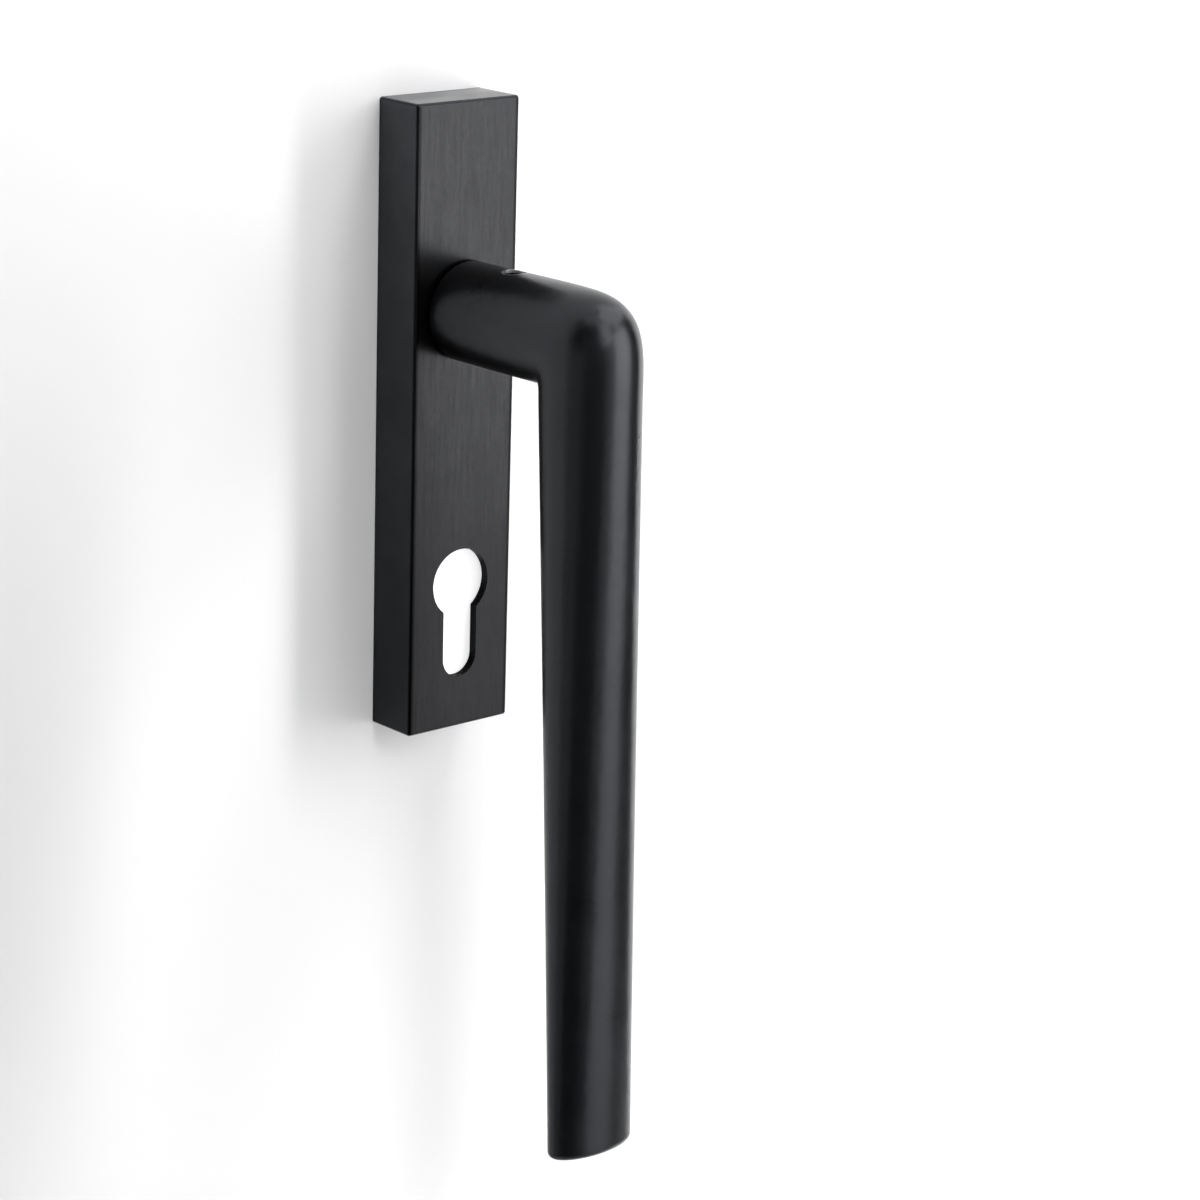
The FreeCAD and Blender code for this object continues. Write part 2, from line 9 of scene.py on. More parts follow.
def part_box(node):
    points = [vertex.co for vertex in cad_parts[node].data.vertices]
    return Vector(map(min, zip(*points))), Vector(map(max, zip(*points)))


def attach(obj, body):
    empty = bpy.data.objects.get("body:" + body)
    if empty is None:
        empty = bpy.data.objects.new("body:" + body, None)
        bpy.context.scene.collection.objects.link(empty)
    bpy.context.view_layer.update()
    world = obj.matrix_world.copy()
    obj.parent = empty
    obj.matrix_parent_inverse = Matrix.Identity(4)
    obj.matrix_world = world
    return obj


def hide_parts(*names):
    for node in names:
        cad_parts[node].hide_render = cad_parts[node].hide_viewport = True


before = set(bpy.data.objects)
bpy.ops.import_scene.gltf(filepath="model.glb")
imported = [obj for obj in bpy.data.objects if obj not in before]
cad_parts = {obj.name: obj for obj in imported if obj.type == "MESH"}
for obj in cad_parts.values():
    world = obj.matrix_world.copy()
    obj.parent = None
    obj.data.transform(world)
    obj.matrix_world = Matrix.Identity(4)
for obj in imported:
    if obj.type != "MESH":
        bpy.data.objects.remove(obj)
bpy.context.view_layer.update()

bl_info = {
    "name": "Patio Door Handle",
    "version": (1, 0, 0),
    "blender": (4, 5, 0),
    "location": "3D View > Sidebar > Handle",
    "description": "Finishes the lever handle and plate, models the fixing screws and builds the studio",
    "category": "Object",
}

# Lengths are in metres. The spindle's axis lies along Y through the origin, the door's face is the plane
# y = 0, and the plate stands in front of it, towards -Y.

# Colours of the inner pieces

NATURAL_PLASTIC = (0.86, 0.86, 0.84)
BLACK_PLASTIC = (0.02, 0.02, 0.021)
BRONZE = (0.55, 0.38, 0.16)
PLATED_STEEL = (0.62, 0.62, 0.6)
SPRING_STEEL = (0.24, 0.25, 0.27)
BLACK_STEEL = (0.16, 0.16, 0.165)


class HandleSizes(bpy.types.PropertyGroup):
    """Sizes of the fixing screws"""
    thread_pitch: FloatProperty(
        name="Thread Pitch", description="Advance of the fixing screw's thread in one turn",
        default=0.001, min=0.0005, max=0.002, precision=5, unit="LENGTH")
    thread_depth: FloatProperty(
        name="Thread Depth", description="From the crest to the root of the fixing screw's thread",
        default=0.00055, min=0.0002, max=0.001, precision=5, unit="LENGTH")
    shank_diameter: FloatProperty(
        name="Shank Diameter", description="Reduced shank between the screw's head and its thread",
        default=0.0053, min=0.004, max=0.006, precision=5, unit="LENGTH")
    head_height: FloatProperty(
        name="Head Height", description="Height of the fixing screw's head",
        default=0.0036, min=0.002, max=0.006, precision=5, unit="LENGTH")
    head_socket: FloatProperty(
        name="Head Socket", description="Width across the flats of the head's hexagon socket",
        default=0.005, min=0.003, max=0.006, precision=5, unit="LENGTH")
    socket_depth: FloatProperty(
        name="Socket Depth", description="Depth of the head's hexagon socket",
        default=0.0025, min=0.001, max=0.003, precision=5, unit="LENGTH")
    knurl_count: IntProperty(
        name="Knurl Count", description="Number of ribs round the screw's head",
        default=48, min=24, max=96)


class HandleFinish(bpy.types.PropertyGroup):
    """Colours, gloss and grain of the plate and the lever"""
    plate_color: FloatVectorProperty(
        name="Plate Colour", description="Brushed black of the cover plate",
        subtype="COLOR", size=3, min=0.0, max=1.0, default=(0.0325, 0.0328, 0.0345))
    plate_roughness: FloatProperty(
        name="Plate Roughness", description="Gloss of the brushed plate, from mirror to matt",
        subtype="FACTOR", default=0.3, min=0.0, max=1.0)
    side_color: FloatVectorProperty(
        name="Side Colour", description="Satin black of the cover plate's sides and edges",
        subtype="COLOR", size=3, min=0.0, max=1.0, default=(0.0365, 0.039, 0.043))
    side_roughness: FloatProperty(
        name="Side Roughness", description="Gloss of the plate's sides and edges, from mirror to matt",
        subtype="FACTOR", default=0.24, min=0.0, max=1.0)
    plate_stretch: FloatProperty(
        name="Plate Stretch", description="How much the brushed lines draw reflections out sideways",
        subtype="FACTOR", default=0.6, min=0.0, max=1.0)
    lever_color: FloatVectorProperty(
        name="Lever Colour", description="Satin black of the lever",
        subtype="COLOR", size=3, min=0.0, max=1.0, default=(0.0362, 0.0378, 0.041))
    lever_roughness: FloatProperty(
        name="Lever Roughness", description="Gloss of the satin lever, from mirror to matt",
        subtype="FACTOR", default=0.29, min=0.0, max=1.0)
    grain_width: FloatProperty(
        name="Grain Width", description="Usual width of one brushed line",
        default=0.0002, min=0.0001, max=0.002, precision=5, unit="LENGTH")
    grain_length: FloatProperty(
        name="Grain Length", description="Usual length of one brushed line",
        default=0.0028, min=0.001, max=0.05, precision=4, unit="LENGTH")


class StudioSettings(bpy.types.PropertyGroup):
    """Wall, lamps and camera"""
    wall_color: FloatVectorProperty(
        name="Wall Colour", description="Pale wall behind the plate",
        subtype="COLOR", size=3, min=0.0, max=1.0, default=(0.84, 0.84, 0.84))
    floor_drop: FloatProperty(
        name="Floor Drop", description="Height of the spindle axis above the floor",
        default=0.95, min=0.4, max=2.0, unit="LENGTH")
    wall_glow: FloatProperty(
        name="Wall Glow", description="Added whiteness of the wall as the camera, metal and glass see it",
        default=0.03, min=0.0, max=1.0)
    hole_glow: FloatProperty(
        name="Hole Glow", description="Added whiteness of the card that shows in the cylinder hole",
        default=0.7, min=0.0, max=1.0)
    key_brightness: FloatProperty(
        name="Key Brightness", description="Brightness of the large soft lamp on the right",
        default=4.2, min=0.0, max=20.0)
    high_brightness: FloatProperty(
        name="High Brightness", description="Brightness of the large soft lamp overhead on the right",
        default=3.05, min=0.0, max=20.0)
    low_brightness: FloatProperty(
        name="Low Brightness", description="Brightness of the small soft lamp low on the right",
        default=2.0, min=0.0, max=20.0)
    front_brightness: FloatProperty(
        name="Front Brightness", description="Brightness of the soft lamp in front and above",
        default=2.8, min=0.0, max=20.0)
    fill_brightness: FloatProperty(
        name="Fill Brightness", description="Brightness of the weak soft lamp straight in front",
        default=0.7, min=0.0, max=20.0)
    shade_brightness: FloatProperty(
        name="Shade Brightness", description="Brightness of the large dim lamp in front on the left",
        default=0.15, min=0.0, max=20.0)
    over_brightness: FloatProperty(
        name="Over Brightness", description="Brightness of the soft lamp overhead on the left",
        default=1.1, min=0.0, max=20.0)
    left_brightness: FloatProperty(
        name="Left Brightness", description="Brightness of the weak soft lamp on the left",
        default=0.35, min=0.0, max=20.0)
    wall_broad_brightness: FloatProperty(
        name="Wall Broad Brightness", description="Brightness of the broad front lamp for the wall",
        default=0.92, min=0.0, max=60.0)
    wall_side_brightness: FloatProperty(
        name="Wall Side Brightness", description="Brightness of the tall lamp for the wall on the right",
        default=18.5, min=0.0, max=60.0)
    wall_front_brightness: FloatProperty(
        name="Wall Front Brightness", description="Brightness of the small front lamp for the wall",
        default=16.0, min=0.0, max=60.0)
    wall_top_brightness: FloatProperty(
        name="Wall Top Brightness", description="Brightness of the lamp for the wall that hangs above",
        default=23.0, min=0.0, max=60.0)
    back_brightness: FloatProperty(
        name="Back Brightness", description="Brightness of the lamp behind the wall, for views of the back",
        default=1.2, min=0.0, max=20.0)
    camera_turn: FloatProperty(
        name="Camera Turn", description="How far the camera stands to the left of the plate's face",
        default=math.radians(41.7), subtype="ANGLE")
    camera_rise: FloatProperty(
        name="Camera Rise", description="How far the camera looks down",
        default=math.radians(16.27), subtype="ANGLE")
    camera_roll: FloatProperty(
        name="Camera Roll", description="Tilt of the camera about its own line of sight",
        default=math.radians(1.72), subtype="ANGLE")
    camera_distance: FloatProperty(
        name="Camera Distance", description="From the camera to the point that it looks at",
        default=0.92667, min=0.3, max=5.0, unit="LENGTH")
    camera_lens: FloatProperty(
        name="Lens", description="Focal length of the camera", default=106.15, min=20.0, max=300.0,
        subtype="DISTANCE_CAMERA")
    camera_target: FloatVectorProperty(
        name="Camera Target", description="The point that the camera looks at",
        subtype="TRANSLATION", size=3, default=(0.04727, -0.015, -0.08264))


# Shader node helpers

def add_node(tree, kind, place, **settings):
    """New node at a place in the editor, with its settings."""
    node = tree.nodes.new(kind)
    node.location = place
    for name, value in settings.items():
        setattr(node, name, value)
    return node


def feed(tree, socket, value):
    """Links the input socket to the value where that is a socket, and otherwise sets it."""
    if isinstance(value, bpy.types.NodeSocket):
        tree.links.new(value, socket)
    else:
        socket.default_value = value


def math_node(tree, operation, place, first, second=None):
    """Result of a math node whose inputs are sockets or numbers."""
    node = add_node(tree, "ShaderNodeMath", place, operation=operation)
    feed(tree, node.inputs[0], first)
    if second is not None:
        feed(tree, node.inputs[1], second)
    return node.outputs[0]


def vector_node(tree, operation, place, first, second=None):
    """Vector math node whose inputs are sockets or fixed vectors."""
    node = add_node(tree, "ShaderNodeVectorMath", place, operation=operation)
    feed(tree, node.inputs[0], first)
    if second is not None:
        feed(tree, node.inputs[1], second)
    return node


def split_vector(tree, place, vector):
    """The X, Y and Z outputs of a vector."""
    node = add_node(tree, "ShaderNodeSeparateXYZ", place)
    feed(tree, node.inputs[0], vector)
    return node.outputs


def noise_value(tree, place, coordinates, scale, detail, roughness=0.5):
    """Noise from 0 to 1 at the coordinates."""
    noise = add_node(tree, "ShaderNodeTexNoise", place)
    feed(tree, noise.inputs["Vector"], coordinates)
    feed(tree, noise.inputs["Scale"], scale)
    feed(tree, noise.inputs["Detail"], detail)
    feed(tree, noise.inputs["Roughness"], roughness)
    return noise.outputs["Fac"]


def ramp(tree, place, value, low, high):
    """0 below low, 1 above high."""
    spread = add_node(tree, "ShaderNodeMapRange", place)
    feed(tree, spread.inputs["From Min"], low)
    feed(tree, spread.inputs["From Max"], high)
    feed(tree, spread.inputs["Value"], value)
    return spread.outputs["Result"]


def value_between(tree, place, factor, low, high):
    """Value that goes from low to high with the factor."""
    spread = add_node(tree, "ShaderNodeMapRange", place)
    feed(tree, spread.inputs["To Min"], low)
    feed(tree, spread.inputs["To Max"], high)
    feed(tree, spread.inputs["Value"], factor)
    return spread.outputs["Result"]


def scaled_color(color, factor):
    """The colour made darker or lighter, never above white."""
    return tuple(min(1.0, channel * factor) for channel in color)


def tone_between(tree, place, factor, dark, light):
    """Colour that goes from dark to light with the factor."""
    mix = add_node(tree, "ShaderNodeMix", place, data_type="RGBA")
    feed(tree, mix.inputs["A"], (*dark, 1.0))
    feed(tree, mix.inputs["B"], (*light, 1.0))
    feed(tree, mix.inputs["Factor"], factor)
    return mix.outputs["Result"]


def varied_tone(tree, place, factor, color, less, more):
    """The colour, scaled from less to more with the factor."""
    return tone_between(tree, place, factor, scaled_color(color, less), scaled_color(color, more))


def mixed_color(tree, place, blend, factor, first, second):
    """Colour blended from two colour sockets. The factor is a socket or a number."""
    mix = add_node(tree, "ShaderNodeMix", place, data_type="RGBA", blend_type=blend)
    feed(tree, mix.inputs["Factor"], factor)
    feed(tree, mix.inputs["A"], first)
    feed(tree, mix.inputs["B"], second)
    return mix.outputs["Result"]


# Node groups that several finishes share

def new_group(name, inputs, outputs):
    """Empty shader node group with the given sockets and its two end nodes."""
    group = bpy.data.node_groups.new(name, "ShaderNodeTree")
    for socket_name, socket_type, default in inputs:
        socket = group.interface.new_socket(name=socket_name, in_out="INPUT", socket_type=socket_type)
        if default is not None:
            socket.default_value = default
    for socket_name, socket_type in outputs:
        group.interface.new_socket(name=socket_name, in_out="OUTPUT", socket_type=socket_type)
    source = add_node(group, "NodeGroupInput", (-900, 0)).outputs
    result = add_node(group, "NodeGroupOutput", (700, 0)).inputs
    return group, source, result


def brushed_grain_group():
    """Long fine lines of brushed metal, as a tone from 0 to 1 and a height."""
    group, source, result = new_group(
        "Brushed Grain",
        [("Coordinates", "NodeSocketVector", None),
         ("Stretch", "NodeSocketVector", (2500.0, 2500.0, 70.0))],
        [("Lines", "NodeSocketFloat"), ("Height", "NodeSocketFloat")],
    )
    stretched = vector_node(group, "MULTIPLY", (-700, 0), source["Coordinates"], source["Stretch"])
    fine = noise_value(group, (-480, 120), stretched.outputs[0], scale=1.0, detail=3.0, roughness=0.65)
    broad = noise_value(group, (-480, -160), stretched.outputs[0], scale=0.23, detail=2.0)
    weighted = math_node(group, "MULTIPLY", (-260, -160), broad, 0.6)
    total = math_node(group, "ADD", (-60, 0), fine, weighted)
    feed(group, result["Lines"], ramp(group, (160, 60), total, 0.5, 1.1))
    feed(group, result["Height"], fine)


def soft_cloud_group():
    """Broad uneven patches, as a coating or a casting shows them when light grazes it."""
    group, source, result = new_group(
        "Soft Clouds",
        [("Coordinates", "NodeSocketVector", None), ("Size", "NodeSocketFloat", 120.0)],
        [("Cloud", "NodeSocketFloat"), ("Speckle", "NodeSocketFloat")],
    )
    coordinates, size = source["Coordinates"], source["Size"]
    cloud = noise_value(group, (-480, 120), coordinates, size, detail=4.0, roughness=0.55)
    speckle_size = math_node(group, "MULTIPLY", (-700, -160), size, 34.0)
    speckle = noise_value(group, (-480, -160), coordinates, speckle_size, detail=2.0)
    feed(group, result["Cloud"], ramp(group, (160, 60), cloud, 0.3, 0.7))
    feed(group, result["Speckle"], speckle)


def turned_rings_group():
    """Fine circles round the Y axis that a lathe tool leaves, centred on the given point."""
    group, source, result = new_group(
        "Turned Rings",
        [("Coordinates", "NodeSocketVector", None), ("Centre", "NodeSocketVector", (0.0, 0.0, 0.0)),
         ("Density", "NodeSocketFloat", 5200.0)],
        [("Rings", "NodeSocketFloat")],
    )
    shifted = vector_node(group, "SUBTRACT", (-700, 0), source["Coordinates"], source["Centre"])
    place = split_vector(group, (-500, 0), shifted.outputs[0])
    across = math_node(group, "MULTIPLY", (-320, 120), place["X"], place["X"])
    upward = math_node(group, "MULTIPLY", (-320, -60), place["Z"], place["Z"])
    square = math_node(group, "ADD", (-160, 60), across, upward)
    radius = math_node(group, "SQRT", (0, 60), square)
    along = math_node(group, "ADD", (120, 60), radius, place["Y"])
    scaled = math_node(group, "MULTIPLY", (260, 60), along, source["Density"])
    noise = add_node(group, "ShaderNodeTexNoise", (420, 60), noise_dimensions="1D")
    feed(group, noise.inputs["W"], scaled)
    feed(group, noise.inputs["Scale"], 1.0)
    feed(group, noise.inputs["Detail"], 2.0)
    feed(group, result["Rings"], noise.outputs["Fac"])


SHARED_GROUPS = {
    "Brushed Grain": brushed_grain_group,
    "Soft Clouds": soft_cloud_group,
    "Turned Rings": turned_rings_group,
}


def place_group(tree, name, place, coordinates, **values):
    """Outputs of a shared group, placed in a material with its own values. The first use makes the group."""
    if name not in bpy.data.node_groups:
        SHARED_GROUPS[name]()
    node = add_node(tree, "ShaderNodeGroup", place)
    node.node_tree = bpy.data.node_groups[name]
    feed(tree, node.inputs["Coordinates"], coordinates)
    for socket_name, value in values.items():
        feed(tree, node.inputs[socket_name], value)
    return node.outputs


# Finishes

def new_material(name):
    """Material with a Principled shader, its node tree, that shader and its Object coordinates."""
    material = bpy.data.materials.new(name)
    material.use_nodes = True
    tree = material.node_tree
    shader = tree.nodes["Principled BSDF"]
    coordinates = add_node(tree, "ShaderNodeTexCoord", (-1300, 0)).outputs["Object"]
    return material, tree, shader, coordinates


def connect(tree, shader, color, roughness, metallic):
    """Gives the shader its colour and its roughness, and says whether it is metal, 1, or not, 0."""
    feed(tree, shader.inputs["Base Color"], color)
    feed(tree, shader.inputs["Roughness"], roughness)
    feed(tree, shader.inputs["Metallic"], metallic)


def add_bump(tree, shader, place, height, strength, distance):
    """Bump on the shader's normal. The distance is how many metres the height 1 stands for."""
    bump = add_node(tree, "ShaderNodeBump", place)
    feed(tree, bump.inputs["Strength"], strength)
    feed(tree, bump.inputs["Distance"], distance)
    feed(tree, bump.inputs["Height"], height)
    feed(tree, shader.inputs["Normal"], bump.outputs["Normal"])


def dress(material, *node_names):
    """Gives those CAD nodes the material in place of their own."""
    for node_name in node_names:
        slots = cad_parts[node_name].data.materials
        slots.clear()
        slots.append(material)


def face_masks(tree, coordinates):
    """Masks of the plate: its front and back, its rounded edges with the band beside them, which get painted
    shade, and its height, along which the sides and top get painted light and shade.
    """
    # Shares of the normal along one axis, from where a mask sets in to where it is full
    face_limits = 0.93, 0.995
    rounding_limits = 0.94, 0.999
    # Distances of the band of painted shade from the plate's side
    band_starts, band_ends = 0.0015, 0.0010
    low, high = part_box("cover_plate")
    normal = split_vector(tree, (-1250, -550), coordinates.node.outputs["Normal"])
    shares = [math_node(tree, "ABSOLUTE", (-1100, -450 - 150 * index), normal[axis])
              for index, axis in enumerate("XYZ")]
    most = math_node(tree, "MAXIMUM", (-950, -650), shares[0], shares[1])
    most = math_node(tree, "MAXIMUM", (-800, -650), most, shares[2])
    place = split_vector(tree, (-1250, -1000), coordinates)
    aside = math_node(tree, "ABSOLUTE", (-1100, -1000), place["X"])
    front = ramp(tree, (-600, -500), shares[1], *face_limits)
    flat = ramp(tree, (-600, -700), most, *rounding_limits)
    rounded = math_node(tree, "SUBTRACT", (-400, -700), 1.0, flat)
    beside = ramp(tree, (-600, -900), aside, high.x - band_starts, high.x - band_ends)
    band = math_node(tree, "MULTIPLY", (-400, -900), beside, front)
    edges = math_node(tree, "MAXIMUM", (-200, -800), rounded, band)
    return front, edges, ramp(tree, (-600, -1100), place["Z"], low.z, high.z)


def brushed_black():
    """Black metal: its front brushed up and down, its sides and rounded edges satin and a little bluer.
    Painted shade darkens the rounded edges and a band beside them, and painted light and shade make the
    sides and top lighter towards the top and darker towards the bottom.
    """
    finish = bpy.context.scene.handle_finish
    across, along = 1.0 / finish.grain_width, 1.0 / finish.grain_length
    gloss = finish.plate_roughness
    material, tree, shader, coordinates = new_material("brushed_black")
    grain = place_group(tree, "Brushed Grain", (-1000, 200), coordinates, Stretch=(across, across, along))
    clouds = place_group(tree, "Soft Clouds", (-1000, -200), coordinates, Size=90.0)
    front, edges, height = face_masks(tree, coordinates)
    lined = varied_tone(tree, (-700, 250), grain["Lines"], finish.plate_color, less=0.87, more=1.13)
    speckled = tone_between(tree, (-700, 100), clouds["Speckle"], (0.8, 0.8, 0.8), (1.18, 1.18, 1.18))
    brushed = mixed_color(tree, (-450, 250), "MULTIPLY", 1.0, lined, speckled)
    plain = varied_tone(tree, (-700, -50), clouds["Cloud"], finish.side_color, less=0.93, more=1.07)
    # Painted light and shade: the sides and the top face are made lighter towards the top and darker towards
    # the bottom
    painted_height_shade = tone_between(tree, (-700, -200), height, (0.50, 0.49, 0.48), (1.38, 1.38, 1.38))
    plain = mixed_color(tree, (-500, -50), "MULTIPLY", 1.0, plain, painted_height_shade)
    both = mixed_color(tree, (-250, 150), "MIX", front, plain, brushed)
    tone = tone_between(tree, (-700, 400), clouds["Cloud"], (0.9, 0.9, 0.91), (1.0, 1.0, 0.99))
    both = mixed_color(tree, (-100, 150), "MULTIPLY", 1.0, both, tone)
    # Painted shade: a darker tone on the rounded edges and on the band of front beside them stands for the
    # dark reflection that lies along them
    painted_edge_shade = tone_between(tree, (-250, 400), edges, (1.0, 1.0, 1.0), (0.45, 0.45, 0.45))
    color = mixed_color(tree, (50, 150), "MULTIPLY", 1.0, both, painted_edge_shade)
    lines = value_between(tree, (-450, -100), grain["Lines"], gloss + 0.06, gloss - 0.04)
    roughness = add_node(tree, "ShaderNodeMix", (-250, -100), data_type="FLOAT")
    feed(tree, roughness.inputs["A"], finish.side_roughness)
    feed(tree, roughness.inputs["B"], lines)
    feed(tree, roughness.inputs["Factor"], front)
    connect(tree, shader, color, roughness.outputs["Result"], metallic=1.0)
    feed(tree, shader.inputs["Anisotropic"], finish.plate_stretch)
    level = add_node(tree, "ShaderNodeTangent", (-450, -500), direction_type="RADIAL", axis="Z")
    feed(tree, shader.inputs["Tangent"], level.outputs["Tangent"])
    lift = math_node(tree, "MULTIPLY", (-450, -350), grain["Height"], front)
    add_bump(tree, shader, (-250, -350), lift, strength=0.35, distance=0.00002)
    return material


def hole_mask(tree, coordinates, centre, radius, bottom):
    """1 within the radius of an upright axis and above the bottom, 0 elsewhere."""
    middle = vector_node(tree, "SUBTRACT", (-1000, 500), coordinates, (centre.x, centre.y, 0.0))
    level = vector_node(tree, "MULTIPLY", (-800, 500), middle.outputs[0], (1.0, 1.0, 0.0))
    far = vector_node(tree, "LENGTH", (-600, 500), level.outputs[0])
    inside = math_node(tree, "LESS_THAN", (-400, 500), far.outputs["Value"], radius)
    place = split_vector(tree, (-600, 650), coordinates)
    above = math_node(tree, "GREATER_THAN", (-400, 650), place["Z"], bottom)
    return math_node(tree, "MULTIPLY", (-200, 550), inside, above)


def satin_black():
    """Smooth black coating of the lever with a fine orange peel. The tapped hole's rim is bare metal."""
    rim_width, rim_depth = 0.0002, 0.0011
    finish = bpy.context.scene.handle_finish
    gloss = finish.lever_roughness
    low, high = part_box("neck_grub_screw")
    radius = (high.x - low.x) / 2.0 + rim_width
    neck_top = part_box("lever")[1].z
    material, tree, shader, coordinates = new_material("satin_black")
    bare = hole_mask(tree, coordinates, (low + high) / 2.0, radius, neck_top - rim_depth)
    clouds = place_group(tree, "Soft Clouds", (-1000, 0), coordinates, Size=60.0)
    tone = varied_tone(tree, (-600, 200), clouds["Cloud"], finish.lever_color, less=0.94, more=1.05)
    metal = tone_between(tree, (-600, 400), clouds["Speckle"], (0.8, 0.8, 0.8), (0.95, 0.95, 0.95))
    color = mixed_color(tree, (-300, 200), "MIX", bare, tone, metal)
    roughness = value_between(tree, (-450, -60), clouds["Cloud"], gloss - 0.02, gloss + 0.03)
    connect(tree, shader, color, roughness, metallic=1.0)
    add_bump(tree, shader, (-250, -300), clouds["Speckle"], strength=0.04, distance=0.00002)
    return material


def moulded_plastic(name, color, gloss):
    """Moulded plastic with a faint flow pattern and a fine eroded texture."""
    material, tree, shader, coordinates = new_material(name)
    clouds = place_group(tree, "Soft Clouds", (-1000, 0), coordinates, Size=150.0)
    tone = varied_tone(tree, (-600, 200), clouds["Cloud"], color, less=0.95, more=1.02)
    roughness = value_between(tree, (-450, -60), clouds["Speckle"], gloss - 0.05, gloss + 0.06)
    connect(tree, shader, tone, roughness, metallic=0.0)
    add_bump(tree, shader, (-250, -300), clouds["Speckle"], strength=0.2, distance=0.00003)
    return material


def foam_rubber():
    """Closed-cell pad: dark, dull and finely pored."""
    material, tree, shader, coordinates = new_material("black_foam")
    cells = add_node(tree, "ShaderNodeTexVoronoi", (-1000, 200))
    feed(tree, cells.inputs["Vector"], coordinates)
    feed(tree, cells.inputs["Scale"], 2600.0)
    clouds = place_group(tree, "Soft Clouds", (-1000, -150), coordinates, Size=110.0)
    dark, light = (0.008, 0.008, 0.0085), (0.015, 0.015, 0.0155)
    tone = tone_between(tree, (-600, 200), clouds["Cloud"], dark, light)
    roughness = value_between(tree, (-600, -100), clouds["Speckle"], 0.72, 0.9)
    connect(tree, shader, tone, roughness, metallic=0.0)
    feed(tree, shader.inputs["Specular IOR Level"], 0.15)
    add_bump(tree, shader, (-250, -300), cells.outputs["Distance"], strength=0.6, distance=0.0001)
    return material


def turned_metal(name, color, gloss, centre_z=0.0):
    """Turned or stamped metal with the tool's circles round a line along Y at that height."""
    material, tree, shader, coordinates = new_material(name)
    rings = place_group(tree, "Turned Rings", (-1000, 200), coordinates, Centre=(0.0, 0.0, centre_z))
    clouds = place_group(tree, "Soft Clouds", (-1000, -150), coordinates, Size=260.0)
    tone = varied_tone(tree, (-600, 200), clouds["Cloud"], color, less=0.82, more=1.05)
    roughness = value_between(tree, (-600, -100), rings["Rings"], gloss - 0.08, gloss + 0.1)
    connect(tree, shader, tone, roughness, metallic=1.0)
    add_bump(tree, shader, (-250, -300), rings["Rings"], strength=0.3, distance=0.00002)
    return material


def drawn_steel():
    """Plated square bar, drawn along its length."""
    material, tree, shader, coordinates = new_material("plated_bar")
    grain = place_group(tree, "Brushed Grain", (-1000, 200), coordinates, Stretch=(2200.0, 45.0, 2200.0))
    clouds = place_group(tree, "Soft Clouds", (-1000, -150), coordinates, Size=140.0)
    tone = tone_between(tree, (-600, 200), clouds["Cloud"], (0.5, 0.5, 0.49), (0.68, 0.68, 0.66))
    roughness = value_between(tree, (-600, -100), grain["Lines"], 0.3, 0.46)
    connect(tree, shader, tone, roughness, metallic=1.0)
    add_bump(tree, shader, (-250, -300), grain["Height"], strength=0.3, distance=0.00003)
    return material


# Modelling helpers

def start_alone():
    """Leaves edit mode and deselects everything."""
    if bpy.context.object and bpy.context.object.mode != "OBJECT":
        bpy.ops.object.mode_set(mode="OBJECT")
    bpy.ops.object.select_all(action="DESELECT")


def make_active(piece):
    """Makes the piece the only selected one and the active one."""
    start_alone()
    piece.select_set(True)
    bpy.context.view_layer.objects.active = piece


def select_where(piece, kind, wanted):
    """In edit mode, selects the faces or edges that the test wants and no others."""
    bpy.ops.mesh.select_mode(type=kind)
    bpy.ops.mesh.select_all(action="DESELECT")
    mesh = bmesh.from_edit_mesh(piece.data)
    for element in mesh.faces if kind == "FACE" else mesh.edges:
        element.select_set(wanted(element))
    bmesh.update_edit_mesh(piece.data)


def bevel_end(bar, end_y, size, segments):
    """In edit mode, bevels the rim of the bar's end that lies at that Y."""
    near = 1e-6
    select_where(bar, "EDGE", lambda edge: all(abs(vertex.co.y - end_y) < near for vertex in edge.verts))
    bpy.ops.mesh.bevel(offset=size, segments=segments, affect="EDGES")


def add_bar(name, sides, radius, low_y, high_y, centre_z):
    """Bar of that many sides along Y, with its place in its mesh."""
    start_alone()
    bpy.ops.mesh.primitive_cylinder_add(
        vertices=sides, radius=radius, depth=high_y - low_y, end_fill_type="NGON",
        location=(0.0, (low_y + high_y) / 2.0, centre_z), rotation=(math.pi / 2.0, 0.0, 0.0))
    bar = bpy.context.object
    bar.name = name
    bpy.ops.object.transform_apply(location=True, rotation=True, scale=True)
    return bar


def combine(piece, other, operation):
    """Exact boolean of two closed pieces. The other one is used up."""
    make_active(piece)
    modifier = piece.modifiers.new("Boolean", "BOOLEAN")
    modifier.operation = operation
    modifier.solver = "EXACT"
    modifier.object = other
    bpy.ops.object.modifier_apply(modifier=modifier.name)
    bpy.data.objects.remove(other)


# Fixing screws

def screw_head(name, low_y, high_y, radius, centre_z):
    """Ribbed cylindrical head with a rounded front rim and a hexagon socket."""
    rim_rounding, past = 0.0005, 0.0005
    side_tilt, smallest_side = 0.1, 2e-7
    groove_margin, groove_slope, groove_depth = 0.00009, 0.00006, 0.00012
    sizes = bpy.context.scene.handle_sizes
    head = add_bar(name, sizes.knurl_count, radius, low_y, high_y, centre_z)
    bpy.ops.object.mode_set(mode="EDIT")
    bevel_end(head, low_y, rim_rounding, segments=2)
    select_where(
        head, "FACE", lambda face: abs(face.normal.y) < side_tilt and face.calc_area() > smallest_side)
    bpy.ops.mesh.inset(thickness=groove_margin, depth=0.0, use_individual=True)
    bpy.ops.mesh.inset(thickness=groove_slope, depth=-groove_depth, use_individual=True)
    bpy.ops.object.mode_set(mode="OBJECT")
    corner_radius = sizes.head_socket / math.sqrt(3.0)
    socket = add_bar(name + "_socket", 6, corner_radius, low_y - past, low_y + sizes.socket_depth, centre_z)
    combine(head, socket, "DIFFERENCE")
    return head


